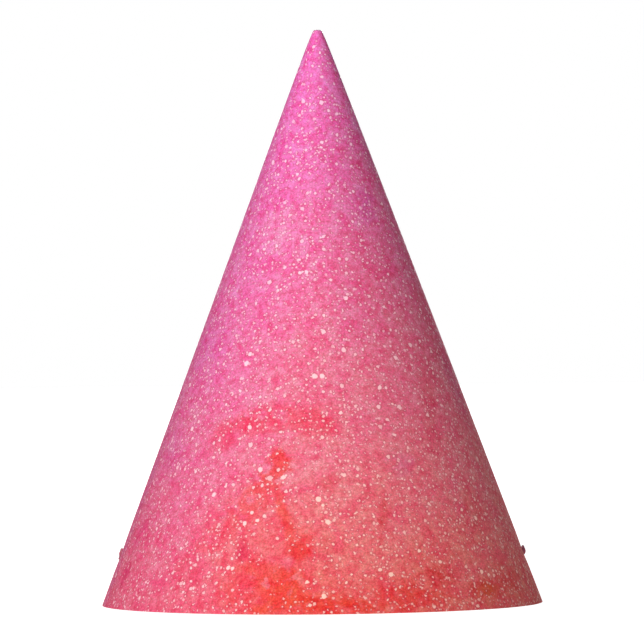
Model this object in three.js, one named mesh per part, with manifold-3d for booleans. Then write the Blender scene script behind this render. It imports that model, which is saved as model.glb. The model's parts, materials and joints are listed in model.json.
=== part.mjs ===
// Cone party hat: a printed card blank rolled once round, lapped and taped down the back,
// with a round elastic chin cord knotted outside a punched hole on each side.
// Millimetres, +Z up, the front faces -Y, the origin is the centre of the hem circle.

import * as THREE from 'three';
import { mergeVertices } from 'three/addons/utils/BufferGeometryUtils.js';
import Module from 'manifold-3d';

// The cone, by its outer face
const HEM_RADIUS = 76.2;
const APEX_HEIGHT = 203.2; // where the straight sides would meet
const TIP_HEIGHT = 198.6; // where the card is cut off
const CARD_THICKNESS = 0.4;

// The roll, in degrees round the cone
const FACET_ANGLE = 2.4;
const FACETS_PER_TURN = 150;
const LAP_FACETS = 5;
const RAMP_FACETS = 10; // the card eases out of the lap over this many facets
const SEAM_ANGLE = 90; // the middle of the lap, at the back

// The double-sided tape inside the lap
const TAPE_THICKNESS = 0.15;
const TAPE_CLEARANCE = 0.05; // left on each face of the tape
const TAPE_MARGIN_FACETS = 1; // from each edge of the lap
const TAPE_LOW = 4;
const TAPE_HIGH = 150;

// The chin cord, its holes and its knots
const CORD_DIAMETER = 1.0;
const CORD_SIDES = 8;
const CORD_STEPS = 76;
const HOLE_DIAMETER = 2.4;
const HOLE_HEIGHT = 18;
const HOLE_SIDES = 24;
const KNOT_GAP = 0.3; // between the knot and the card
const KNOT_DEPTH = 1.6; // outwards from the card
const KNOT_WIDTH = 2.6;
const KNOT_LENGTH = 3.2; // down the side of the cone
const KNOT_RINGS = 12;
const TAIL_LENGTH = 6; // from the middle of the knot to the cut end

// Worked out from the sizes above
const SLOPE = Math.atan(HEM_RADIUS / APEX_HEIGHT);
const CARD_RADIAL = CARD_THICKNESS / Math.cos(SLOPE);
const LAP_STEP = CARD_RADIAL + TAPE_THICKNESS + 2 * TAPE_CLEARANCE;
const LAP_ANGLE = LAP_FACETS * FACET_ANGLE;
const ROLL_START = SEAM_ANGLE - LAP_ANGLE / 2;
const HOLE_RADIUS_ON_CONE = outerRadius(HOLE_HEIGHT);

// The cord's route from the right hole, round the floor at the back, to the left hole.
const CORD_ROUTE = [
  [69.45, 0, 18], [67.8, 0, 18], [66.2, 0.7, 17.6], [65, 2.7, 16.4], [64.3, 6.3, 14.2],
  [63.6, 11.4, 11.1], [62.6, 17.6, 7.5], [60.9, 24.6, 4.3], [58.2, 31.6, 2.1], [54.6, 38.4, 1],
  [49.9, 45.2, 0.6], [43.8, 52.2, 0.6], [36.2, 58.8, 0.6], [27.4, 64.2, 0.6], [18, 68.2, 0.6],
  [9, 70.4, 0.6], [0, 71.2, 0.6], [-9.2, 70.9, 0.6], [-18.4, 68.9, 0.6], [-28, 64.6, 0.6],
  [-36.6, 58.7, 0.6], [-44, 52, 0.6], [-50, 45, 0.6], [-54.5, 38, 1], [-58, 31.4, 2.1],
  [-60.8, 24.5, 4.4], [-62.5, 17.6, 7.6], [-63.5, 11.5, 11], [-64.3, 6.3, 14.1],
  [-65, 2.7, 16.4], [-66.2, 0.7, 17.6], [-67.8, 0, 18], [-69.45, 0, 18],
];

const wasm = await Module();
wasm.setup();

function outerRadius(height) {
  return HEM_RADIUS * (1 - height / APEX_HEIGHT);
}

// How far inside the cone's outer face the rolled card lies, a number of facets from its start:
// one layer in under the lap, then easing out to the full radius.
function inset(facets) {
  const eased = THREE.MathUtils.smoothstep(facets, LAP_FACETS, LAP_FACETS + RAMP_FACETS);
  return LAP_STEP * (1 - eased);
}

// A flat strip bent onto the cone. `outerInset` gives the depth of its outer face below the cone.
function rolledStrip({ fromFacet, facets, low, high, thickness, outerInset }) {
  const strip = new THREE.BoxGeometry(facets, high - low, 1, facets, 1, 1);
  strip.translate(fromFacet + facets / 2, (low + high) / 2, 0);
  const position = strip.getAttribute('position');
  for (let i = 0; i < position.count; i += 1) {
    const facet = position.getX(i);
    const height = position.getY(i);
    const depth = outerInset(facet) + (position.getZ(i) > 0 ? 0 : thickness);
    const radius = outerRadius(height) - depth;
    const angle = THREE.MathUtils.degToRad(ROLL_START + facet * FACET_ANGLE);
    position.setXYZ(i, radius * Math.cos(angle), radius * Math.sin(angle), height);
  }
  return strip;
}

function solidOf(geometry) {
  const bare = geometry.clone();
  bare.deleteAttribute('normal');
  bare.deleteAttribute('uv');
  const merged = mergeVertices(bare);
  return new wasm.Manifold(new wasm.Mesh({
    numProp: 3,
    vertProperties: new Float32Array(merged.getAttribute('position').array),
    triVerts: new Uint32Array(merged.getIndex().array),
  }));
}

function geometryOf(solid) {
  const { vertProperties, triVerts } = solid.getMesh();
  const geometry = new THREE.BufferGeometry();
  geometry.setAttribute('position', new THREE.BufferAttribute(vertProperties, 3));
  geometry.setIndex(new THREE.BufferAttribute(triVerts, 1));
  geometry.computeVertexNormals();
  return geometry;
}

function named(name, geometry, material) {
  const mesh = new THREE.Mesh(geometry, material);
  mesh.name = name;
  return mesh;
}

// The card blank: one turn and a lap, with both side holes punched along X.
function coneBlank() {
  const card = rolledStrip({
    fromFacet: 0,
    facets: FACETS_PER_TURN + LAP_FACETS,
    low: 0,
    high: TIP_HEIGHT,
    thickness: CARD_RADIAL,
    outerInset: inset,
  });
  const punch = new THREE.CylinderGeometry(
    HOLE_DIAMETER / 2, HOLE_DIAMETER / 2, 3 * HEM_RADIUS, HOLE_SIDES,
  );
  punch.rotateZ(Math.PI / 2);
  punch.translate(0, 0, HOLE_HEIGHT);
  const material = new THREE.MeshStandardMaterial({ color: '#e8698f', roughness: 0.55, metalness: 0 });
  return named('cone_blank', geometryOf(solidOf(card).subtract(solidOf(punch))), material);
}

function seamAdhesiveStrip() {
  const tape = rolledStrip({
    fromFacet: TAPE_MARGIN_FACETS,
    facets: LAP_FACETS - 2 * TAPE_MARGIN_FACETS,
    low: TAPE_LOW,
    high: TAPE_HIGH,
    thickness: TAPE_THICKNESS,
    outerInset: () => CARD_RADIAL + TAPE_CLEARANCE,
  });
  const material = new THREE.MeshStandardMaterial({ color: '#e9e4d3', roughness: 0.5, metalness: 0 });
  return named('seam_adhesive_strip', tape, material);
}

function elasticMaterial() {
  return new THREE.MeshStandardMaterial({ color: '#b3586f', roughness: 0.85, metalness: 0 });
}

function elasticCord() {
  const route = new THREE.CatmullRomCurve3(CORD_ROUTE.map((point) => new THREE.Vector3(...point)));
  const section = new THREE.Shape();
  for (let i = 0; i < CORD_SIDES; i += 1) {
    const angle = (i * 2 * Math.PI) / CORD_SIDES;
    const x = (CORD_DIAMETER / 2) * Math.cos(angle);
    const y = (CORD_DIAMETER / 2) * Math.sin(angle);
    if (i === 0) section.moveTo(x, y);
    else section.lineTo(x, y);
  }
  const cord = new THREE.ExtrudeGeometry(section, { steps: CORD_STEPS, extrudePath: route });
  return named('elastic_cord', cord, elasticMaterial());
}

// A knot on the right side: a flattened ball with the cord's short end hanging from it,
// in a frame where +X points straight out of the card and -Z down its slope.
function elasticKnot(name) {
  const ball = new THREE.SphereGeometry(0.5, 2 * KNOT_RINGS, KNOT_RINGS);
  ball.scale(KNOT_DEPTH, KNOT_WIDTH, KNOT_LENGTH);
  const tail = new THREE.CylinderGeometry(
    CORD_DIAMETER / 2, CORD_DIAMETER / 2, TAIL_LENGTH, CORD_SIDES,
  );
  tail.rotateX(Math.PI / 2);
  tail.translate((CORD_DIAMETER - KNOT_DEPTH) / 2, 0, -TAIL_LENGTH / 2);
  const mesh = named(name, geometryOf(solidOf(ball).add(solidOf(tail))), elasticMaterial());
  const out = KNOT_GAP + KNOT_DEPTH / 2;
  mesh.position.set(
    HOLE_RADIUS_ON_CONE + out * Math.cos(SLOPE), 0, HOLE_HEIGHT + out * Math.sin(SLOPE),
  );
  mesh.rotation.y = -SLOPE;
  return mesh;
}

const hat = new THREE.Group();
hat.add(coneBlank(), seamAdhesiveStrip(), elasticCord());
for (const [name, turn] of [['elastic_knot_right', 0], ['elastic_knot_left', Math.PI]]) {
  const side = new THREE.Group();
  side.rotation.z = turn;
  side.add(elasticKnot(name));
  hat.add(side);
}

export default hat;
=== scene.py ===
import json
import math

import bpy
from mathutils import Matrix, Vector


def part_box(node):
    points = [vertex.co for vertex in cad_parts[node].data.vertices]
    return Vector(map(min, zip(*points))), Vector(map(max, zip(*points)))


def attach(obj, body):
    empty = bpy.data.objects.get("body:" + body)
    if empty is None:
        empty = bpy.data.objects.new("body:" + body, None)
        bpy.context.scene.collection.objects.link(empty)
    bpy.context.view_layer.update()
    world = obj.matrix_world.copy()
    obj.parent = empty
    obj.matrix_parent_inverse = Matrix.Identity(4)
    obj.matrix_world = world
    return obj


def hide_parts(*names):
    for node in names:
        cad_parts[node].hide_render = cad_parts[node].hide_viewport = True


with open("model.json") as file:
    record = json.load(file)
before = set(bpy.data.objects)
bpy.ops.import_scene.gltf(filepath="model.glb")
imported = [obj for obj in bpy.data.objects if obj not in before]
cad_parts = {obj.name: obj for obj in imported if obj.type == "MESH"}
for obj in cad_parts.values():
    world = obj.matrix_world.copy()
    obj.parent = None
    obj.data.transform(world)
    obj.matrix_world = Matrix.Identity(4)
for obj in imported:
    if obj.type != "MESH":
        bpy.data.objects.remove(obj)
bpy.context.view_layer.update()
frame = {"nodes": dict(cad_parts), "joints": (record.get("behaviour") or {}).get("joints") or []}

# A cone party hat: one sheet of printed card, rolled, lapped and taped at the back, with a
# braided elastic chin cord knotted outside a punched hole on each side.
# Metres, +Z up, the front faces -Y, the origin is the centre of the hem circle.

MM = 0.001

# ------------------------------------------------------------------------------------------
# Driving sizes, in metres and radians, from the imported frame
# ------------------------------------------------------------------------------------------

CONE_LOW, CONE_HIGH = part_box("cone_blank")
HEM_RADIUS = (CONE_HIGH.x - CONE_LOW.x) / 2
TIP_HEIGHT = CONE_HIGH.z
APEX_HEIGHT = HEM_RADIUS * 8 / 3  # where the straight sides would meet
SLOPE = math.atan(HEM_RADIUS / APEX_HEIGHT)
SLANT = math.hypot(HEM_RADIUS, APEX_HEIGHT)

CARD_THICKNESS = 0.4 * MM
CARD_RADIAL = CARD_THICKNESS / math.cos(SLOPE)  # the thickness measured along the radius
TAPE_ROOM = 0.25 * MM  # between the two laps
LAP_STEP = CARD_RADIAL + TAPE_ROOM
SEAM = math.radians(90)
LAP = math.radians(12)
RAMP = math.radians(24)  # the card eases out of the lap over this turn
ROLL_START = SEAM - LAP / 2
ROLL_TURN = 2 * math.pi + LAP

HOLE_HEIGHT = frame["joints"][0]["pos_m"][2]
HOLE_RADIUS = 1.2 * MM
HOLE_ON_CONE = HEM_RADIUS * (1 - HOLE_HEIGHT / APEX_HEIGHT)
CORD_RADIUS = 0.5 * MM
BRAID_YARNS = 8  # crests round the cord
BRAID_WAVE = 3.9  # radians for each millimetre along the cord
BRAID_RELIEF = 0.09  # of the radius

# The cord's route from the right hole, round the floor at the back, to the left hole.
CORD_ROUTE = [
    (0.06945, 0, 0.018), (0.0678, 0, 0.018), (0.0662, 0.0007, 0.0176),
    (0.065, 0.0027, 0.0164), (0.0643, 0.0063, 0.0142), (0.0636, 0.0114, 0.0111),
    (0.0626, 0.0176, 0.0075), (0.0609, 0.0246, 0.0043), (0.0582, 0.0316, 0.0021),
    (0.0546, 0.0384, 0.001), (0.0499, 0.0452, 0.0006), (0.0438, 0.0522, 0.0006),
    (0.0362, 0.0588, 0.0006), (0.0274, 0.0642, 0.0006), (0.018, 0.0682, 0.0006),
    (0.009, 0.0704, 0.0006), (0, 0.0712, 0.0006), (-0.0092, 0.0709, 0.0006),
    (-0.0184, 0.0689, 0.0006), (-0.028, 0.0646, 0.0006), (-0.0366, 0.0587, 0.0006),
    (-0.044, 0.052, 0.0006), (-0.05, 0.045, 0.0006), (-0.0545, 0.038, 0.001),
    (-0.058, 0.0314, 0.0021), (-0.0608, 0.0245, 0.0044), (-0.0625, 0.0176, 0.0076),
    (-0.0635, 0.0115, 0.011), (-0.0643, 0.0063, 0.0141), (-0.065, 0.0027, 0.0164),
    (-0.0662, 0.0007, 0.0176), (-0.0678, 0, 0.018), (-0.06945, 0, 0.018),
]


# ------------------------------------------------------------------------------------------
# Small helpers
# ------------------------------------------------------------------------------------------

def smoothstep(low, high, value):
    """0 at low and 1 at high, easing in between. low may be the larger of the two."""
    t = min(1.0, max(0.0, (value - low) / (high - low)))
    return t * t * (3 - 2 * t)


def bell(distance, width):
    """A Gaussian bump, 1 in the middle."""
    return math.exp(-0.5 * (distance / width) ** 2)


def linear(red, green, blue):
    """A linear colour from 0-255 display values."""
    def channel(value):
        value /= 255
        return value / 12.92 if value <= 0.04045 else ((value + 0.055) / 1.055) ** 2.4
    return (channel(red), channel(green), channel(blue), 1.0)


def catmull_rom(points, per_span):
    """Points along a centripetal Catmull-Rom curve through the given ones."""
    given = [Vector(p) for p in points]
    ends = [given[0] * 2 - given[1]] + given + [given[-1] * 2 - given[-2]]
    curve = []
    for i in range(1, len(ends) - 2):
        p0, p1, p2, p3 = ends[i - 1:i + 3]
        d0, d1, d2 = [math.sqrt((b - a).length) for a, b in ((p0, p1), (p1, p2), (p2, p3))]
        t1 = ((p1 - p0) / d0 - (p2 - p0) / (d0 + d1) + (p2 - p1) / d1) * d1
        t2 = ((p2 - p1) / d1 - (p3 - p1) / (d1 + d2) + (p3 - p2) / d2) * d1
        for k in range(per_span):
            u = k / per_span
            curve.append(
                p1 * (2 * u ** 3 - 3 * u ** 2 + 1) + t1 * (u ** 3 - 2 * u ** 2 + u)
                + p2 * (3 * u ** 2 - 2 * u ** 3) + t2 * (u ** 3 - u ** 2)
            )
    curve.append(given[-1])
    return curve


def evenly(points, step):
    """The same line with its points about one step apart, and its length."""
    lengths = [0.0]
    for a, b in zip(points, points[1:]):
        lengths.append(lengths[-1] + (b - a).length)
    count = max(2, round(lengths[-1] / step))
    even = []
    span = 0
    for k in range(count + 1):
        target = lengths[-1] * k / count
        while span < len(points) - 2 and lengths[span + 1] < target:
            span += 1
        share = (target - lengths[span]) / (lengths[span + 1] - lengths[span])
        even.append(points[span].lerp(points[span + 1], share))
    return even, lengths[-1]


def new_object(name, vertices, faces, materials):
    """A mesh object in the scene, from its vertices and faces."""
    mesh = bpy.data.meshes.new(name)
    mesh.from_pydata([tuple(v) for v in vertices], [], faces)
    for material in materials:
        mesh.materials.append(material)
    piece = bpy.data.objects.new(name, mesh)
    bpy.context.scene.collection.objects.link(piece)
    return piece


def add_uv(piece, name, corner_uv):
    """A UV layer from a function of the face and the number of its corner."""
    layer = piece.data.uv_layers.new(name=name)
    for face in piece.data.polygons:
        for corner, loop in enumerate(face.loop_indices):
            layer.data[loop].uv = corner_uv(face, corner)


# ------------------------------------------------------------------------------------------
# Node trees
# ------------------------------------------------------------------------------------------

NOISE_RANGE = (0.3, 0.7)  # nearly all of a noise's values lie in here


class Graph:
    """Short ways to add nodes to one material's tree."""

    def __init__(self, tree):
        self.tree = tree
        tree.nodes.clear()

    def node(self, kind, inputs=None, **settings):
        node = self.tree.nodes.new(kind)
        for name, value in settings.items():
            setattr(node, name, value)
        for key, value in (inputs or {}).items():
            self.feed(node.inputs[key], value)
        return node

    def feed(self, socket, value):
        if isinstance(value, bpy.types.NodeSocket):
            self.tree.links.new(value, socket)
        else:
            socket.default_value = value

    def math(self, operation, a, b=0.0, clamp=False):
        node = self.node("ShaderNodeMath", {0: a, 1: b}, operation=operation)
        node.use_clamp = clamp
        return node.outputs[0]

    def vector_math(self, operation, a, b=(0, 0, 0), scale=None):
        node = self.node("ShaderNodeVectorMath", {0: a, 1: b}, operation=operation)
        if scale is not None:
            self.feed(node.inputs["Scale"], scale)
        return node.outputs["Value" if operation == "LENGTH" else "Vector"]

    def mix(self, factor, a, b, blend="MIX"):
        node = self.node(
            "ShaderNodeMix", {0: factor, 6: a, 7: b}, data_type="RGBA", blend_type=blend,
        )
        return node.outputs[2]

    def remap(self, value, low, high, to_low=0.0, to_high=1.0, smooth=False):
        node = self.node("ShaderNodeMapRange", {
            "Value": value, "From Min": low, "From Max": high, "To Min": to_low, "To Max": to_high,
        })
        if smooth:
            node.interpolation_type = "SMOOTHSTEP"
        return node.outputs["Result"]

    def noise(self, vector, scale, detail=2.0, roughness=0.5, distortion=0.0):
        return self.node("ShaderNodeTexNoise", {
            "Vector": vector, "Scale": scale, "Detail": detail,
            "Roughness": roughness, "Distortion": distortion,
        })

    def spread(self, noise, low=0.0, high=1.0):
        """A noise's value stretched from its usual range to the one asked for."""
        return self.remap(noise, NOISE_RANGE[0], NOISE_RANGE[1], low, high)

    def ramp(self, factor, stops):
        """A colour from stops = [(place, colour), ...]."""
        node = self.node("ShaderNodeValToRGB", {0: factor})
        elements = node.color_ramp.elements
        while len(elements) < len(stops):
            elements.new(0.5)
        for element, (place, colour) in zip(elements, stops):
            element.position = place
            element.color = colour
        return node.outputs[0]

    def spot(self, vector, centre, half_sizes, turn=0.0):
        """1 in the middle of an ellipse on the sheet, falling to 0 at its edge."""
        mapping = self.node("ShaderNodeMapping", {
            "Vector": vector,
            "Location": (centre[0], centre[1], 0),
            "Rotation": (0, 0, math.radians(turn)),
            "Scale": (half_sizes[0], half_sizes[1], 1),
        }, vector_type="TEXTURE")
        sphere = self.node(
            "ShaderNodeTexGradient", {"Vector": mapping.outputs[0]}, gradient_type="SPHERICAL",
        )
        return sphere.outputs["Fac"]


def new_material(name):
    material = bpy.data.materials.new(name)
    material.use_nodes = True
    return material, Graph(material.node_tree)


def finish_material(graph, colour, roughness, bump_height, bump_distance, **constants):
    """A Principled surface with a bump, and the shader's constants on its own sockets."""
    shader = graph.node("ShaderNodeBsdfPrincipled", {
        "Base Color": colour, "Roughness": roughness, **constants,
    })
    bump = graph.node("ShaderNodeBump", {
        "Height": bump_height, "Strength": 1.0, "Distance": bump_distance,
    })
    graph.feed(shader.inputs["Normal"], bump.outputs[0])
    output = graph.node("ShaderNodeOutputMaterial")
    graph.feed(output.inputs["Surface"], shader.outputs[0])


# ------------------------------------------------------------------------------------------
# The print: a watercolour wash with pale flecks, laid out on the unrolled sheet.
# Sheet places are millimetres from the apex, x to the wearer's left and y up the sheet.
# ------------------------------------------------------------------------------------------

# The wash's colours by the distance from the apex, on the left, centre and right of the front.
# The back is washed as the centre is.
WASH_LEFT = [
    (15, (255, 122, 202)), (50, (253, 121, 194)), (80, (252, 121, 188)), (120, (252, 122, 181)),
    (160, (252, 121, 168)), (190, (254, 116, 154)), (215, (254, 111, 144)),
]
WASH_CENTRE = [
    (15, (255, 122, 199)), (50, (255, 121, 191)), (80, (255, 122, 179)), (120, (255, 127, 164)),
    (160, (255, 130, 149)), (190, (255, 125, 131)), (215, (254, 110, 106)),
]
WASH_RIGHT = [
    (15, (255, 123, 195)), (50, (252, 118, 181)), (80, (250, 115, 165)), (120, (252, 118, 152)),
    (160, (253, 121, 140)), (190, (254, 120, 126)), (215, (252, 110, 110)),
]
WASH_SIDE = 0.8  # the side colours are reached where the sine of the angle round is this
WASH_DRIFT = 9  # how far the wash wanders up and down the sheet

# Stains and a band of painted shade: centre, half length and half width, turn in degrees, colour,
# strength.
# A stain is at about half strength at its half sizes, and has faded out at STAIN_FADE of them.
STAIN_FADE = 1.5
STAINS_AND_SHADE_BAND = [
    # high on the front
    ((17, -52), (15, 4), -8, (248, 98, 160), 0.8),
    ((17, -69), (5, 7), 0, (236, 96, 176), 0.6),
    ((-12, -77), (9, 9), 0, (255, 150, 197), 0.7),
    ((20, -92), (11, 8), 20, (252, 100, 150), 0.5),
    ((48, -104), (8, 15), 15, (243, 88, 124), 0.6),
    ((41, -138), (4, 20), 0, (240, 88, 112), 0.6),
    ((60, -120), (8, 14), 20, (232, 104, 146), 0.5),
    ((-47, -112), (13, 14), 0, (248, 112, 190), 0.5),
    # the soft band two thirds of the way down
    ((-18, -147), (21, 5), 1, (255, 84, 115), 0.95),
    ((-35, -151), (6, 5), 0, (252, 84, 120), 0.8),
    ((-2, -149), (9, 6), -4, (255, 88, 113), 0.9),
    ((-7, -141), (7, 3), 0, (255, 88, 134), 0.5),
    # the red run from the band down to the hem
    ((-14, -163), (4, 6), 10, (255, 85, 88), 1.1),
    ((-20, -171), (9, 4.5), 42, (255, 90, 94), 1.0),
    ((-26, -179), (12, 6), 35, (255, 94, 108), 0.8),
    ((-12, -184), (12, 2.2), -76, (255, 79, 67), 1.15),
    ((-8, -194), (5, 4), 0, (252, 58, 46), 1.3),
    ((-6, -190), (3.5, 3.5), 0, (255, 84, 80), 0.8),
    ((-15, -206), (9, 6.5), 15, (255, 62, 42), 1.4),
    ((-21, -202), (9, 4.5), -38, (255, 78, 60), 1.15),
    ((-10, -211), (9, 4), -15, (255, 81, 58), 1.0),
    ((-21, -214), (6, 2.5), 0, (255, 91, 62), 0.95),
    # reddened card round it
    ((-22, -190), (19, 22), 0, (255, 105, 112), 0.6),
    ((-28, -193), (2.5, 4), 0, (240, 64, 98), 0.85),
    ((-37, -187), (10, 4.5), 15, (255, 82, 110), 0.75),
    ((-28, -207), (8, 7), 0, (255, 84, 94), 0.75),
    ((-50, -196), (6, 7), 0, (250, 84, 116), 0.7),
    ((3, -171), (5, 3), 10, (242, 88, 100), 0.6),
    ((21, -182), (1.8, 9), 0, (238, 92, 92), 0.7),
    ((2, -195), (3, 8), 0, (242, 92, 98), 0.5),
    ((28, -162), (6, 5), 0, (240, 122, 158), 0.5),
    # low on the left side
    ((-76, -173), (8, 7), 15, (250, 84, 140), 0.8),
    ((-86, -186), (7, 4), 20, (236, 76, 122), 0.7),
    ((-62, -147), (7, 12), 25, (244, 116, 178), 0.5),
    # painted shade: this long dusky band darkens the left edge, where the light falls off
    ((-82, -150), (6, 60), -29, (230, 98, 158), 0.7),
    # along the hem on the right
    ((4, -214), (20, 3.5), 0, (250, 74, 60), 0.95),
    ((29, -209), (16, 6), 8, (250, 76, 70), 0.85),
    ((41, -200), (7, 4), 10, (238, 66, 66), 0.8),
    ((61, -201), (8, 4), 14, (236, 78, 48), 0.8),
    ((76, -193), (9, 6), 18, (244, 84, 72), 0.6),
    ((60, -172), (7, 9), 15, (240, 86, 92), 0.6),
    # round the sides and the back, a guess
    ((-104, -120), (18, 14), 40, (248, 112, 182), 0.6),
    ((-140, -148), (26, 9), 30, (255, 86, 118), 0.7),
    ((118, -150), (20, 12), -30, (244, 84, 96), 0.7),
    ((150, -140), (14, 22), 20, (252, 76, 76), 0.8),
    ((172, -110), (18, 10), -40, (250, 90, 104), 0.6),
    ((-176, -96), (14, 9), 50, (252, 90, 140), 0.6),
]

# Mottling and grain, from coarse to fine: scale, detail, roughness and distortion of the
# noise, then the multipliers of the colour where it is deepest and palest
TEXTURES = [
    (0.17, 4.0, 0.6, 0.6, (1, 0.66, 0.84), (1, 1.32, 1.14)),
    (0.48, 3.0, 0.65, 0.5, (0.92, 0.68, 0.72), (1.04, 1.34, 1.28)),
    (1.5, 2.0, 0.6, 0.0, (0.8, 0.83, 0.74), (1.09, 1.09, 1.18)),
]
TEXTURE_RANGE = (0.36, 0.64)  # the noise's values where it is deepest and palest
PRINT_DEPTH = (0.82, 0.777, 0.777, 1)  # the ink beside the flecks, as a multiplier

# Where the flecks are more or less crowded than elsewhere: centre, half sizes, change
CROWDING_SPOTS = [
    ((-1, -49), (7, 5), 1.0),
    ((-10, -185), (50, 45), -0.45),
    ((-17, -204), (22, 15), -0.8),
]
FLECK_SOFTNESS = 0.15  # half the width of a fleck's blurred edge
RIM_REACH = 0.45  # how far the darker rim goes past the fleck's edge
RIM_STRENGTH = 0.46
RIM_COLOUR = (200, 82, 112)
FLECK_OPACITY = 0.93
FLECK_RELIEF = 4.0  # height of a fleck, where the card's fibres are 1 high
FLECK_COLOURS = [(0.1, (255, 205, 230)), (0.45, (255, 207, 221)), (0.9, (255, 207, 189))]
FLECK_COOL = (255, 205, 230)  # the flecks lean towards this on the left side
COOL_SHARE = 0.6

# The largest flecks of the print: centre and radius
LANDMARK_FLECKS = [
    ((-21, -164.5), 0.9), ((-38.5, -170.5), 0.825), ((-26.5, -183), 0.75),
    ((-24, -179.5), 0.675), ((-22, -182.5), 0.675), ((-1, -176.5), 0.9),
    ((0.5, -178.5), 0.675), ((2, -184.5), 0.825), ((-13, -168), 0.75), ((-32.5, -198), 0.75),
    ((-31, -198.5), 0.675), ((0.5, -210.5), 0.9), ((-5, -205.5), 0.675),
    ((23.5, -202), 0.825), ((-26.5, -125), 0.9), ((-2, -132.5), 0.975),
    ((0.5, -132.5), 0.825), ((-4.5, -94.5), 0.75), ((9, -104), 0.75),
]


def colour_stops(colours, scale=1.0):
    """Ramp stops from places, divided by the scale, and 0-255 display colours."""
    return [(place / scale, linear(*colour)) for place, colour in colours]


def wandering(graph, vector, scale, detail, reach):
    """A noise vector that wanders either way from zero, for bending what is laid on it."""
    colour = graph.noise(vector, scale, detail=detail, roughness=0.6).outputs["Color"]
    centred = graph.vector_math("SUBTRACT", colour, (0.5, 0.5, 0.5))
    return graph.vector_math("SCALE", centred, scale=reach)


def place_on_sheet(graph, sheet):
    """How far down the sheet a point lies, as a share of the slant and with the wash's drift
    in it, and how far round to the left and to the right, each from 0 to 1."""
    drift = graph.noise(sheet, 0.045, detail=3.0, roughness=0.55).outputs["Fac"]
    drift = graph.spread(drift, -WASH_DRIFT, WASH_DRIFT)
    slant = graph.vector_math("LENGTH", sheet)
    down = graph.math("DIVIDE", graph.math("ADD", slant, drift), SLANT / MM)
    parts = graph.node("ShaderNodeSeparateXYZ", {0: sheet}).outputs
    sheet_angle = graph.math("ARCTAN2", parts[0], graph.math("MULTIPLY", parts[1], -1))
    turn = graph.math("DIVIDE", sheet_angle, math.sin(SLOPE))
    lateral = graph.math("DIVIDE", graph.math("SINE", turn), WASH_SIDE)
    to_left = graph.math("MULTIPLY", lateral, -1.0, clamp=True)
    to_right = graph.math("MULTIPLY", lateral, 1.0, clamp=True)
    return down, to_left, to_right


def wash(graph, down, to_left, to_right):
    """The ground colour, which changes down the sheet and from left to right."""
    left = graph.ramp(down, colour_stops(WASH_LEFT, SLANT / MM))
    centre = graph.ramp(down, colour_stops(WASH_CENTRE, SLANT / MM))
    right = graph.ramp(down, colour_stops(WASH_RIGHT, SLANT / MM))
    return graph.mix(to_left, graph.mix(to_right, centre, right), left)


def stained_and_shaded(graph, sheet, colour):
    """The colour with its stains and one band of painted shade, which have bleeding edges and soak
    in unevenly.
    """
    bled = graph.vector_math("ADD", sheet, wandering(graph, sheet, 0.17, 4.0, 5.0))
    soak = graph.noise(sheet, 0.35, detail=4.0, roughness=0.65).outputs["Fac"]
    soak = graph.spread(soak, 0.72, 1.2)
    for middle, half_sizes, angle, tint, strength in STAINS_AND_SHADE_BAND:
        reach = [STAIN_FADE * half for half in half_sizes]
        spot = graph.spot(bled, middle, reach, angle)
        factor = graph.remap(spot, 0.0, 0.75, 0.0, strength, smooth=True)
        factor = graph.math("MULTIPLY", factor, soak, clamp=True)
        colour = graph.mix(factor, colour, linear(*tint))
    return colour


def mottled(graph, sheet, colour):
    """The colour with its mottling and grain."""
    for scale, detail, roughness, distortion, deep, pale in TEXTURES:
        noise = graph.noise(sheet, scale, detail, roughness, distortion).outputs["Fac"]
        low, high = TEXTURE_RANGE
        texture = graph.ramp(noise, [(low, (*deep, 1)), (high, (*pale, 1))])
        colour = graph.mix(1.0, colour, texture, "MULTIPLY")
    return colour


def fleck_layer(graph, sheet, crowding, cell, radii, share, opacity, seed):
    """Scattered flecks, one at most in each cell. Returns how strongly a point is covered
    and how strongly it lies in the thin darker rim round a fleck."""
    place = graph.vector_math("ADD", sheet, (seed * 37.0, seed * 91.0, 0))
    cells = graph.node("ShaderNodeTexVoronoi", {
        "Vector": place, "Scale": 1 / cell, "Randomness": 1.0,
    }, voronoi_dimensions="2D", feature="F1")
    distance = graph.math("MULTIPLY", cells.outputs["Distance"], cell)
    draws = graph.node("ShaderNodeSeparateColor", {0: cells.outputs["Color"]}).outputs
    size = graph.math("POWER", draws[0], 2.0)
    radius = graph.remap(size, 0, 1, radii[0], radii[1])
    past_edge = graph.math("SUBTRACT", distance, radius)
    inside = graph.remap(past_edge, -FLECK_SOFTNESS, FLECK_SOFTNESS, 1, 0, smooth=True)
    rim = graph.remap(past_edge, FLECK_SOFTNESS, RIM_REACH, 1, 0, smooth=True)
    wanted = graph.math("MULTIPLY", crowding, share)
    present = graph.math("LESS_THAN", draws[1], wanted)
    strength = graph.remap(draws[2], 0, 1, opacity[0], opacity[1])
    strength = graph.math("MULTIPLY", strength, present)
    cover = graph.math("MULTIPLY", inside, strength)
    rim = graph.math("MULTIPLY", rim, strength)
    return cover, rim


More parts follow.
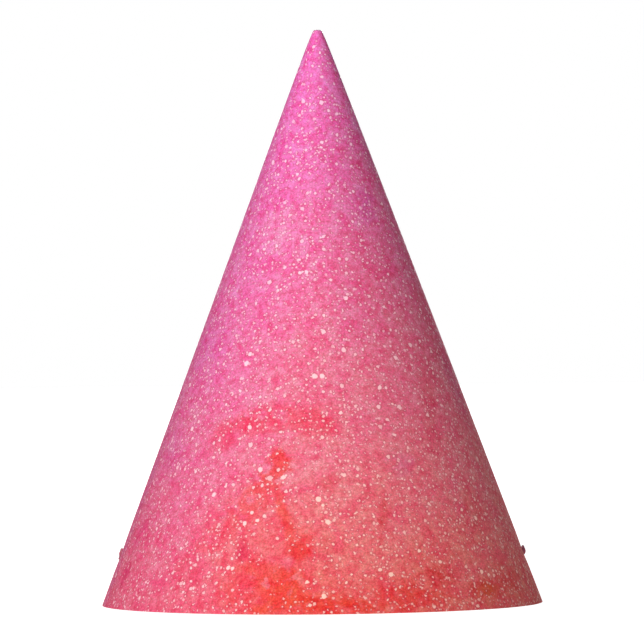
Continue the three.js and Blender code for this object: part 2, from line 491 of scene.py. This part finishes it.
def fleck_cover(graph, sheet):
    """How strongly each point is covered by a fleck, and by the darker rim round one."""
    crowding = graph.noise(sheet, 0.12, detail=3.0, roughness=0.6).outputs["Fac"]
    crowding = graph.spread(crowding, 0.35, 1.5)
    for middle, half_sizes, change in CROWDING_SPOTS:
        spot = graph.math("MULTIPLY", graph.spot(sheet, middle, half_sizes), change)
        crowding = graph.math("ADD", crowding, spot)
    wobbled = graph.vector_math("ADD", sheet, wandering(graph, sheet, 0.9, 3.0, 1.3))
    shredded = graph.vector_math("ADD", wobbled, wandering(graph, sheet, 1.6, 2.0, 1.0))

    # From large to small: cell, radii, share of the cells that hold one, opacity, seed
    layers = [
        fleck_layer(graph, wobbled, crowding, 6.5, (0.35, 0.9), 0.3, (0.65, 1.0), 1),
        fleck_layer(graph, wobbled, crowding, 2.7, (0.28, 0.6), 0.54, (0.55, 1.0), 2),
        fleck_layer(graph, shredded, crowding, 1.55, (0.18, 0.4), 0.6, (0.4, 1.0), 3),
    ]
    cover = 0.0
    rim = 0.0
    for layer_cover, layer_rim in layers:
        cover = graph.math("MAXIMUM", layer_cover, cover)
        rim = graph.math("MAXIMUM", layer_rim, rim)
    for middle, radius in LANDMARK_FLECKS:
        # The spot is 0.5 at the radius, so a fleck's blurred edge lies there
        spot = graph.spot(wobbled, middle, (2 * radius, 2 * radius))
        spot = graph.remap(spot, 0.42, 0.58, 0, 1, smooth=True)
        cover = graph.math("MAXIMUM", spot, cover)
    return cover, rim


def print_material():
    """The printed side: the wash, its stains, a band of painted shade and mottling, and pale
    flecks slightly raised.
    """
    material, graph = new_material("printed_card_face")
    sheet = graph.node("ShaderNodeUVMap", uv_map="Sheet").outputs[0]
    down, to_left, to_right = place_on_sheet(graph, sheet)
    cover, rim = fleck_cover(graph, sheet)

    colour = wash(graph, down, to_left, to_right)
    colour = mottled(graph, sheet, stained_and_shaded(graph, sheet, colour))
    rim = graph.math("MULTIPLY", rim, RIM_STRENGTH)
    colour = graph.mix(rim, colour, linear(*RIM_COLOUR))
    colour = graph.mix(1.0, colour, PRINT_DEPTH, "MULTIPLY")
    fleck_colour = graph.ramp(down, colour_stops(FLECK_COLOURS))
    cooler = graph.math("MULTIPLY", to_left, COOL_SHARE)
    fleck_colour = graph.mix(cooler, fleck_colour, linear(*FLECK_COOL))
    opacity = graph.math("MULTIPLY", cover, FLECK_OPACITY)
    colour = graph.mix(opacity, colour, fleck_colour)

    sheen = graph.noise(sheet, 0.3, detail=4.0).outputs["Fac"]
    roughness = graph.spread(sheen, 0.55, 0.68)
    roughness = graph.math("SUBTRACT", roughness, graph.math("MULTIPLY", cover, 0.06))
    fibres = graph.noise(sheet, 3.0, detail=4.0, roughness=0.6).outputs["Fac"]
    relief = graph.math("ADD", fibres, graph.math("MULTIPLY", cover, FLECK_RELIEF))
    finish_material(
        graph, colour, roughness, relief, 0.01 * MM,
        **{"IOR": 1.45, "Specular IOR Level": 0.04},
    )
    return material


def board_material(name, tone):
    """Plain uncoated board: the card's inside, and its cut edges."""
    material, graph = new_material(name)
    sheet = graph.node("ShaderNodeUVMap", uv_map="Sheet").outputs[0]
    cloud = graph.noise(sheet, 0.08, detail=4.0, roughness=0.6).outputs["Fac"]
    stretched = graph.vector_math("MULTIPLY", sheet, (1.0, 0.25, 1.0))
    fibres = graph.noise(stretched, 2.4, detail=5.0, roughness=0.65).outputs["Fac"]
    shade = graph.mix(
        graph.spread(cloud), linear(*tone), linear(*[0.97 * c for c in tone]),
    )
    grey = graph.spread(fibres, 0.35, 0.65)
    colour = graph.mix(0.35, shade, grey, "SOFT_LIGHT")
    roughness = graph.spread(fibres, 0.74, 0.86)
    finish_material(
        graph, colour, roughness, fibres, 0.02 * MM,
        **{"IOR": 1.45, "Specular IOR Level": 0.25},
    )
    return material


def tape_material():
    """Double-sided tape: a milky film with faint bubbles."""
    material, graph = new_material("double_sided_tape")
    place = graph.node("ShaderNodeTexCoord").outputs["Object"]
    cloud = graph.noise(place, 180.0, detail=3.0).outputs["Fac"]
    bubbles = graph.node("ShaderNodeTexVoronoi", {"Vector": place, "Scale": 420.0})
    bubble = graph.remap(bubbles.outputs["Distance"], 0.12, 0.2, 0.5, 0.0, smooth=True)
    film = graph.mix(
        graph.spread(cloud), linear(236, 230, 212), linear(226, 219, 198),
    )
    colour = graph.mix(bubble, film, linear(248, 245, 236))
    roughness = graph.spread(cloud, 0.42, 0.55)
    finish_material(
        graph, colour, roughness, bubble, 0.02 * MM,
        **{"IOR": 1.47, "Specular IOR Level": 0.4},
    )
    return material


def elastic_material():
    """Round braided elastic: two sets of crossing yarns in a dusty pink, with painted shade in the
    grooves between them.
    """
    material, graph = new_material("braided_elastic")
    strand = graph.node("ShaderNodeUVMap", uv_map="Strand").outputs[0]
    parts = graph.node("ShaderNodeSeparateXYZ", {0: strand}).outputs
    along = graph.math("MULTIPLY", parts[0], BRAID_WAVE)
    around = graph.math("MULTIPLY", parts[1], BRAID_YARNS * math.pi)
    one = graph.math("SINE", graph.math("ADD", around, along))
    other = graph.math("SINE", graph.math("SUBTRACT", around, along))
    yarn = graph.math("MULTIPLY", graph.math("ABSOLUTE", one), graph.math("ABSOLUTE", other))
    side = graph.math("GREATER_THAN", graph.math("MULTIPLY", one, other), 0.0)
    wear = graph.noise(parts[0], 0.25, detail=3.0).outputs["Fac"]
    base = graph.mix(
        graph.spread(wear), linear(184, 92, 114), linear(200, 106, 130),
    )
    base = graph.mix(graph.math("MULTIPLY", side, 0.35), base, linear(214, 134, 152))
    # Painted shade: the grooves between the yarns are darkened towards a deep plum
    groove_shade = graph.remap(yarn, 0.0, 0.35, 0.75, 0.0, smooth=True)
    colour = graph.mix(groove_shade, base, linear(116, 50, 66))
    fuzz = graph.noise(strand, 9.0, detail=4.0, roughness=0.7).outputs["Fac"]
    colour = graph.mix(0.5, colour, graph.spread(fuzz, 0.25, 0.75), "SOFT_LIGHT")
    height = graph.math("ADD", yarn, graph.math("MULTIPLY", fuzz, 0.4))
    roughness = graph.spread(fuzz, 0.75, 0.9)
    finish_material(
        graph, colour, roughness, height, 0.04 * MM,
        **{"IOR": 1.5, "Specular IOR Level": 0.3, "Sheen Weight": 0.25, "Sheen Roughness": 0.4},
    )
    return material


# ------------------------------------------------------------------------------------------
# Camera
# ------------------------------------------------------------------------------------------

CAMERA_DISTANCE = 1980 * MM
CAMERA_SIDE = 0.7 * MM
CAMERA_HEIGHT = 100 * MM
AIM_HEIGHT = 97.4 * MM
CAMERA_ROLL = 0.52  # degrees
CAMERA_LENS = 319.5  # its focal length and the sensor's width are in millimetres
SENSOR_WIDTH = 36.0


def make_camera():
    lens = bpy.data.cameras.new("photo_camera")
    lens.lens = CAMERA_LENS
    lens.sensor_width = SENSOR_WIDTH
    camera = bpy.data.objects.new("photo_camera", lens)
    camera.location = (CAMERA_SIDE, -CAMERA_DISTANCE, CAMERA_HEIGHT)
    tilt = math.atan((CAMERA_HEIGHT - AIM_HEIGHT) / CAMERA_DISTANCE)
    camera.rotation_mode = "XYZ"
    camera.rotation_euler = (math.radians(90) - tilt, math.radians(CAMERA_ROLL), 0)
    bpy.context.scene.collection.objects.link(camera)
    bpy.context.scene.camera = camera


make_camera()


# ------------------------------------------------------------------------------------------
# Elastic: the cord and its two knots
# ------------------------------------------------------------------------------------------

TUBE_SIDES = 24
CORD_STEP = 0.15 * MM  # between the rings of the tube
KNOT_STEP = 0.07 * MM
END_BULGE = 0.3  # of the radius


def braided_tube(name, line, radius_at, material):
    """A closed tube along a line of points, with a braid's crossing yarns in relief.
    radius_at gives the radius at a distance along the line and the length still to go."""
    sides = TUBE_SIDES
    count = len(line)
    headings = []
    for i in range(count):
        headings.append((line[min(i + 1, count - 1)] - line[max(i - 1, 0)]).normalized())
    across = headings[0].orthogonal().normalized()
    total = sum((b - a).length for a, b in zip(line, line[1:]))
    vertices = []
    lengths = []
    walked = 0.0
    for i, centre in enumerate(line):
        if i:
            walked += (centre - line[i - 1]).length
            across = (across - headings[i] * across.dot(headings[i])).normalized()
        lengths.append(walked)
        up = headings[i].cross(across)
        radius = radius_at(walked, total - walked)
        for k in range(sides):
            angle = 2 * math.pi * k / sides
            lay = BRAID_WAVE * walked / MM
            crossing = BRAID_YARNS * angle / 2
            crest = abs(math.sin(crossing + lay) * math.sin(crossing - lay))
            reach = radius * (1 - BRAID_RELIEF * (0.5 - crest))
            vertices.append(centre + (across * math.cos(angle) + up * math.sin(angle)) * reach)
    faces = []
    for i in range(count - 1):
        for k in range(sides):
            a = i * sides + k
            b = i * sides + (k + 1) % sides
            faces.append((a, b, b + sides, a + sides))
    ends = []
    for i, outward in ((0, -1), (count - 1, 1)):
        ends.append(len(vertices))
        rounding = radius_at(lengths[i], total - lengths[i]) * END_BULGE
        vertices.append(line[i] + headings[i] * (outward * rounding))
    for k in range(sides):
        near = (k + 1) % sides
        last = (count - 1) * sides
        faces.append((ends[0], near, k))
        faces.append((ends[1], last + k, last + near))
    piece = new_object(name, vertices, faces, [material])

    def strand_uv(face, corner):
        vertex = face.vertices[corner]
        if vertex >= count * sides:
            return (lengths[0 if vertex == ends[0] else -1] / MM, 0.5)
        ring, k = divmod(vertex, sides)
        wraps = any(v % sides == sides - 1 for v in face.vertices if v < count * sides)
        turn = 1.0 if k == 0 and wraps else k / sides
        return (lengths[ring] / MM, turn)

    add_uv(piece, "Strand", strand_uv)
    piece.data.shade_smooth()
    return piece


def make_cord(material):
    """The cord along its route, with the line of its middle and the length of that line."""
    line, length = evenly(catmull_rom(CORD_ROUTE, 24), CORD_STEP)
    cord = braided_tube("chin_elastic_cord", line, lambda walked, left: CORD_RADIUS, material)
    return cord, line, length


# A knot sits on its hole, and is drawn in the plane of the card. "back" is towards the back
# of the hat, "up" runs up the slope, and "out" is the height of the cord's middle above it.
KNOT_RING = 0.8 * MM  # the trefoil's main radius
KNOT_SWING = 0.38 * MM  # how far its strands swing in and out
KNOT_RISE = 0.25 * MM  # how far they rise and fall where they cross
KNOT_STRAND = 0.35 * MM  # the stretched cord is thinner in the knot
KNOT_TAIL = 0.27 * MM  # the radius of the frayed end


def knot_line(seat, lift, tail):
    """The cord's middle from the hole, once round an open trefoil, and out along the tail."""
    lead = [
        (0, 0, -0.45 * MM), (0.05 * MM, 0.12 * MM, -0.3 * MM), (0.22 * MM, 0.42 * MM, -0.08 * MM),
    ]
    loop = []
    steps = 40
    for k in range(steps + 1):
        t = math.pi / 6 + (2 * math.pi - math.pi / 3) * k / steps
        radius = KNOT_RING + KNOT_SWING * math.cos(3 * t)
        loop.append((
            radius * math.cos(2 * t),
            lift + radius * math.sin(2 * t),
            seat - KNOT_RISE * math.sin(3 * t),
        ))
    return catmull_rom(lead + loop + tail, 10)


def make_knot(name, side, seat, lift, tail, material):
    """side is 1 for the right hole and -1 for the left one. seat is the height of the knot's
    middle above the card, and lift is how far above the hole's middle the pull has drawn it."""
    line = []
    for back, up, out in knot_line(seat, lift, tail):
        x = HOLE_ON_CONE + out * math.cos(SLOPE) - up * math.sin(SLOPE)
        z = HOLE_HEIGHT + out * math.sin(SLOPE) + up * math.cos(SLOPE)
        line.append(Vector((side * x, back, z)))
    line, _ = evenly(line, KNOT_STEP)

    def radius_at(walked, left):
        eased_in = smoothstep(0.9 * MM, 0.1 * MM, walked)
        thinned = smoothstep(4.5 * MM, 1.0 * MM, left)
        frayed = 0.15 * smoothstep(0.7 * MM, 0.0, left)
        radius = KNOT_STRAND + (CORD_RADIUS - KNOT_STRAND) * eased_in
        radius += (KNOT_TAIL - KNOT_STRAND) * thinned
        return radius * (1 + frayed)

    knot = braided_tube(name, line, radius_at, material)
    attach(knot, "hat")
    return knot


elastic = elastic_material()
cord, cord_line, cord_length = make_cord(elastic)
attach(cord, "chin_elastic")
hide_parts("elastic_cord")

knot_right = make_knot("overhand_knot_right", side=1, seat=0.34 * MM, lift=0.0, tail=[
    (1.0 * MM, -0.85 * MM, 0.46 * MM), (1.7 * MM, -1.0 * MM, 0.33 * MM),
    (2.7 * MM, -1.05 * MM, 0.27 * MM), (3.8 * MM, -1.25 * MM, 0.24 * MM),
    (4.9 * MM, -1.7 * MM, 0.22 * MM),
], material=elastic)
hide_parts("elastic_knot_right")

knot_left = make_knot("overhand_knot_left", side=-1, seat=0.24 * MM, lift=0.25 * MM, tail=[
    (1.05 * MM, -0.65 * MM, 0.42 * MM), (1.7 * MM, -1.0 * MM, 0.3 * MM),
    (2.7 * MM, -1.3 * MM, 0.26 * MM), (3.8 * MM, -1.7 * MM, 0.24 * MM),
    (5.0 * MM, -2.4 * MM, 0.22 * MM),
], material=elastic)
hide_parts("elastic_knot_left")


# ------------------------------------------------------------------------------------------
# The cone: one sheet of card, rolled and lapped
# ------------------------------------------------------------------------------------------

EDGE_CHAMFER = 0.05 * MM
PRINT_SIDE, INSIDE, CUT_EDGE = 0, 1, 2  # the cone's material slots

# The crushed tip, by its outer radius
TIP_PINCH = 0.33 * MM  # how much narrower it is than the plain cone
PINCH_START = 1.0 * MM  # below the top, where the pinch begins to fade
PINCH_FADE = 3.5 * MM
TIP_SHOULDER = 1.2 * MM  # the height of the rounded end
TIP_TOP_RADIUS = 0.55 * MM
TIP_BULGE = 1.3 * MM  # from the top's radius to the foot of the rounded end

# Waves round the roll: height in millimetres, waves in a turn, start, and drift up the cone
WAVES = [(0.09, 2, 0.7, 9), (0.05, 5, -1.9, 31)]
WAVE_START = math.radians(9)  # the tape holds the card true this far from the seam
WAVE_FULL = math.radians(50)  # the waves are at full height from here
WAVE_FADE = 40 * MM  # they fade out over this height below the tip
DENT_DEPTH = 0.22 * MM
DENT_WIDTH = 3.0 * MM
FREE_EDGE = math.radians(4)  # the margin of the outer lap that stands off
CORNER_LIFT = 0.3 * MM
CORNER_FADE = 14 * MM


def stations(start, end, step, finer):
    """Places from start to end, closer together where finer = [(middle, reach, step), ...]."""
    places = [start]
    while places[-1] < end:
        here = places[-1]
        stride = step
        for middle, reach, fine in finer:
            if abs(here - middle) < reach:
                stride = min(stride, fine)
        places.append(min(end, here + stride))
    if places[-1] - places[-2] < 0.3 * step:
        places.pop(-2)
    return places


def cone_radius(height):
    return HEM_RADIUS * (1 - height / APEX_HEIGHT)


def tip_squeeze(height):
    """How much narrower than the plain cone the crushed tip is: 1 where it isn't."""
    drop = TIP_HEIGHT - height
    pinch = TIP_PINCH * math.exp(-max(0.0, drop - PINCH_START) / PINCH_FADE)
    radius = cone_radius(height) - pinch
    if drop < TIP_SHOULDER:
        across = (TIP_SHOULDER - drop) / TIP_SHOULDER
        rounded = TIP_TOP_RADIUS + TIP_BULGE * math.sqrt(max(0.0, 1 - across ** 2))
        radius = min(radius, rounded)
    return radius / cone_radius(height)


def unevenness(angle, height):
    """The rolled card isn't quite round. It is held true along the taped seam."""
    from_seam = abs((angle - SEAM + math.pi) % (2 * math.pi) - math.pi)
    freedom = smoothstep(WAVE_START, WAVE_FULL, from_seam)
    wave = sum(size * math.sin(count * angle + start + drift * height)
               for size, count, start, drift in WAVES)
    fade = smoothstep(TIP_HEIGHT, TIP_HEIGHT - WAVE_FADE, height)
    return wave * MM * freedom * fade


def knot_dent(angle, height):
    """The knots pull the card in a little round the holes."""
    dent = 0.0
    for side_angle in (0.0, math.pi):
        round_the_cone = (angle - side_angle + math.pi) % (2 * math.pi) - math.pi
        distance = math.hypot(
            cone_radius(height) * round_the_cone, (height - HOLE_HEIGHT) / math.cos(SLOPE),
        )
        dent += DENT_DEPTH * bell(distance, DENT_WIDTH)
    return dent


def free_corner(offset, height):
    """The outer lap's loose margin stands off a little near the hem."""
    near_edge = smoothstep(ROLL_TURN - FREE_EDGE, ROLL_TURN, offset)
    return CORNER_LIFT * near_edge * math.exp(-height / CORNER_FADE)


def card_point(offset, height, depth):
    """offset is the angle rolled from the sheet's first edge, and depth goes from 0 on the
    printed side to 1 on the inside."""
    angle = ROLL_START + offset
    inset = LAP_STEP * (1 - smoothstep(LAP, LAP + RAMP, offset))
    radius = cone_radius(height) - inset - depth * CARD_RADIAL
    radius *= tip_squeeze(height)
    radius += unevenness(angle, height) - knot_dent(angle, height) + free_corner(offset, height)
    return Vector((radius * math.cos(angle), radius * math.sin(angle), height))


def sheet_place(offset, height):
    """Where a point lies on the flat sheet, in millimetres from the apex."""
    slant = SLANT * (1 - height / APEX_HEIGHT) / MM
    angle = (offset - ROLL_TURN / 2) * math.sin(SLOPE)
    return (slant * math.sin(angle), -slant * math.cos(angle))


# Most of the baked map goes to the printed side, and thin bands to the other two.
BAKED_BANDS = {PRINT_SIDE: (0.16, 0.996), INSIDE: (0.02, 0.15), CUT_EDGE: (0.004, 0.014)}
BAKED_MARGIN = 0.004


def baked_place(offset, height, kind):
    """Where a point of the cone lies in the baked map."""
    low, high = BAKED_BANDS[kind]
    across = BAKED_MARGIN + (1 - 2 * BAKED_MARGIN) * offset / ROLL_TURN
    return (across, low + (high - low) * height / TIP_HEIGHT)


def make_cone(materials):
    """The rolled card before its holes are punched, one closed mesh."""
    degree = math.radians(1)

    # The mesh is finer round the holes, and towards the hem and the tip
    offsets = stations(0.0, ROLL_TURN, 1.2 * degree, [
        (math.pi - ROLL_START, 4 * degree, 0.4 * degree),
        (2 * math.pi - ROLL_START, 4 * degree, 0.4 * degree),
    ])
    end_chamfer = EDGE_CHAMFER / HEM_RADIUS
    offsets[1:1] = [end_chamfer]
    offsets[-1:-1] = [ROLL_TURN - end_chamfer]
    heights = stations(EDGE_CHAMFER, TIP_HEIGHT - EDGE_CHAMFER, 5 * MM, [
        (0, 6 * MM, 1.2 * MM), (HOLE_HEIGHT, 7 * MM, 0.5 * MM),
        (TIP_HEIGHT, 12 * MM, 0.6 * MM), (TIP_HEIGHT, 2.2 * MM, 0.12 * MM),
    ])
    chamfer = EDGE_CHAMFER / CARD_RADIAL

    # One closed loop round the card's section, from the hem up the print and down the inside
    loop = [(h, 0.0, PRINT_SIDE) for h in heights]
    loop[-1] = (heights[-1], 0.0, CUT_EDGE)
    loop += [(TIP_HEIGHT, chamfer, CUT_EDGE), (TIP_HEIGHT, 1 - chamfer, CUT_EDGE)]
    loop += [(h, 1.0, INSIDE) for h in reversed(heights)]
    loop[-1] = (heights[0], 1.0, CUT_EDGE)
    loop += [(0.0, 1 - chamfer, CUT_EDGE), (0.0, chamfer, CUT_EDGE)]

    vertices = []
    places = []
    last = len(offsets) - 1
    for i, offset in enumerate(offsets):
        for height, depth, _ in loop:
            if i in (0, last):  # the two ends of the roll are chamfered too
                depth = min(max(depth, chamfer), 1 - chamfer)
            vertices.append(card_point(offset, height, depth))
            places.append((offset, height))
    size = len(loop)
    faces = []
    kinds = []
    for i in range(last):
        for j in range(size):
            k = (j + 1) % size
            faces.append((i * size + j, (i + 1) * size + j, (i + 1) * size + k, i * size + k))
            kinds.append(CUT_EDGE if i in (0, last - 1) else loop[j][2])
    rows = len(heights)

    # The roll's two ends are closed by strips between the printed side and the inside
    for i in (0, last):
        base = i * size
        strips = [(j, j + 1, size - 4 - j, size - 3 - j) for j in range(rows - 1)]
        strips.append((rows - 1, rows, rows + 1, rows + 2))
        strips.append((size - 1, 0, size - 3, size - 2))
        for strip in strips:
            corners = [base + c for c in strip]
            faces.append(tuple(corners if i == 0 else reversed(corners)))
            kinds.append(CUT_EDGE)

    cone = new_object("printed_cone", vertices, faces, materials)
    cone.data.polygons.foreach_set("material_index", kinds)
    add_uv(cone, "Sheet", lambda face, corner: sheet_place(*places[face.vertices[corner]]))
    add_uv(cone, "OFBake", lambda face, corner: baked_place(
        *places[face.vertices[corner]], face.material_index,
    ))
    return cone


def punch_holes(cone):
    """Both holes are cut at once by a round bar along X."""
    sides = 48
    vertices = []
    for x in (-1.2 * HEM_RADIUS, 1.2 * HEM_RADIUS):
        for k in range(sides):
            angle = 2 * math.pi * k / sides
            y = HOLE_RADIUS * math.cos(angle)
            z = HOLE_HEIGHT + HOLE_RADIUS * math.sin(angle)
            vertices.append((x, y, z))
    faces = [(k, (k + 1) % sides, sides + (k + 1) % sides, sides + k) for k in range(sides)]
    faces.append(tuple(reversed(range(sides))))
    faces.append(tuple(range(sides, 2 * sides)))
    bar = new_object("hole_punch", vertices, faces, list(cone.data.materials))
    bar.data.polygons.foreach_set("material_index", [CUT_EDGE] * len(faces))

    # The walls of the holes take one place on the sheet, and the cut edge's band of the map
    for name in ("Sheet", "OFBake"):
        add_uv(bar, name, lambda face, corner: (0.01 * corner, 0.008))
    cut = cone.modifiers.new("punch", "BOOLEAN")
    cut.operation = "DIFFERENCE"
    cut.solver = "EXACT"
    cut.object = bar
    graph = bpy.context.evaluated_depsgraph_get()
    punched = bpy.data.meshes.new_from_object(cone.evaluated_get(graph))
    cone.modifiers.clear()
    cone.data = punched
    bpy.data.objects.remove(bar)


cone = make_cone([
    print_material(),
    board_material("board_inside", (243, 240, 236)),
    board_material("board_cut_edge", (236, 230, 226)),
])
punch_holes(cone)
cone.data.shade_smooth()
cone.data.set_sharp_from_angle(angle=math.radians(30))
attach(cone, "hat")
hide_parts("cone_blank")

# The tape keeps its CAD shape
tape = frame["nodes"]["seam_adhesive_strip"]
tape.data.materials.clear()
tape.data.materials.append(tape_material())


# ------------------------------------------------------------------------------------------
# Studio: a plain pale floor, a soft key from the front left, a rim light from the right, a
# back fill, and a disc under the hat that lights its inside for the views from below
# ------------------------------------------------------------------------------------------

FLOOR_GREY = (0.6, 0.6, 0.6, 1)
FLOOR_GLOW = 0.9  # for the camera only
FLOOR_HALF_WIDTH = 6.0
FLOOR_DROP = 0.05 * MM  # keeps the floor clear of the hem
SKY = 0.0115
INSIDE_POWER = 0.032
INSIDE_DROP = 0.03 * MM  # keeps the disc between the floor and the hem
INSIDE_MARGIN = 0.1 * MM  # from the rim of the disc to the outside of the hem
WHITE = (1, 1, 1, 1)


def make_floor():
    """A floor that looks white from above, and is clear from below."""
    material, graph = new_material("studio_floor")
    diffuse = graph.node("ShaderNodeBsdfDiffuse", {"Color": FLOOR_GREY})
    seen = graph.node("ShaderNodeLightPath").outputs["Is Camera Ray"]
    strength = graph.math("MULTIPLY", seen, FLOOR_GLOW)
    glow = graph.node("ShaderNodeEmission", {"Color": WHITE, "Strength": strength})
    lit = graph.node("ShaderNodeAddShader", {0: diffuse.outputs[0], 1: glow.outputs[0]})
    clear = graph.node("ShaderNodeBsdfTransparent")
    behind = graph.node("ShaderNodeNewGeometry").outputs["Backfacing"]
    surface = graph.node("ShaderNodeMixShader", {
        0: behind, 1: lit.outputs[0], 2: clear.outputs[0],
    })
    output = graph.node("ShaderNodeOutputMaterial")
    graph.feed(output.inputs["Surface"], surface.outputs[0])
    half = FLOOR_HALF_WIDTH
    corners = [(-half, -half, 0), (half, -half, 0), (half, half, 0), (-half, half, 0)]
    floor = new_object("floor", corners, [(0, 1, 2, 3)], [material])
    floor.location.z = -FLOOR_DROP


def make_world():
    """A sky that is white to the camera and nearly dark to everything else."""
    world = bpy.data.worlds.new("studio")
    world.use_nodes = True
    graph = Graph(world.node_tree)
    light = graph.node("ShaderNodeBackground", {"Color": WHITE, "Strength": SKY})
    backdrop = graph.node("ShaderNodeBackground", {"Color": WHITE, "Strength": 1.0})
    seen = graph.node("ShaderNodeLightPath").outputs["Is Camera Ray"]
    mixed = graph.node("ShaderNodeMixShader", {
        0: seen, 1: light.outputs[0], 2: backdrop.outputs[0],
    })
    output = graph.node("ShaderNodeOutputWorld")
    graph.feed(output.inputs["Surface"], mixed.outputs[0])
    bpy.context.scene.world = world


def make_sun(name, azimuth, elevation, spread, strength):
    """azimuth is the side that the light comes from: 0 is the front, positive to the right."""
    data = bpy.data.lights.new(name, "SUN")
    data.energy = strength
    data.angle = math.radians(spread)
    sun = bpy.data.objects.new(name, data)
    turn = math.radians(azimuth)
    lift = math.radians(elevation)
    towards = Vector((
        math.sin(turn) * math.cos(lift), -math.cos(turn) * math.cos(lift), math.sin(lift),
    ))
    sun.rotation_mode = "QUATERNION"
    sun.rotation_quaternion = towards.to_track_quat("Z", "Y")
    bpy.context.scene.collection.objects.link(sun)


def make_inside_light():
    """A disc that shines up into the hat, so that the views from below show its inside.
    The hat hides it from above, and from below it can't be seen."""
    data = bpy.data.lights.new("inside_fill", "AREA")
    data.shape = "DISK"
    data.size = 2 * (HEM_RADIUS - INSIDE_MARGIN)
    data.energy = INSIDE_POWER
    lamp = bpy.data.objects.new("inside_fill", data)
    lamp.location.z = -INSIDE_DROP
    lamp.rotation_euler.x = math.pi
    bpy.context.scene.collection.objects.link(lamp)


make_floor()
make_world()
make_sun("key", azimuth=-24, elevation=10, spread=45, strength=4.57)
make_sun("side_rim", azimuth=122, elevation=10, spread=40, strength=1.0)
make_sun("back_fill", azimuth=180, elevation=15, spread=30, strength=2.52)
make_inside_light()
bpy.context.scene.view_settings.view_transform = "Standard"
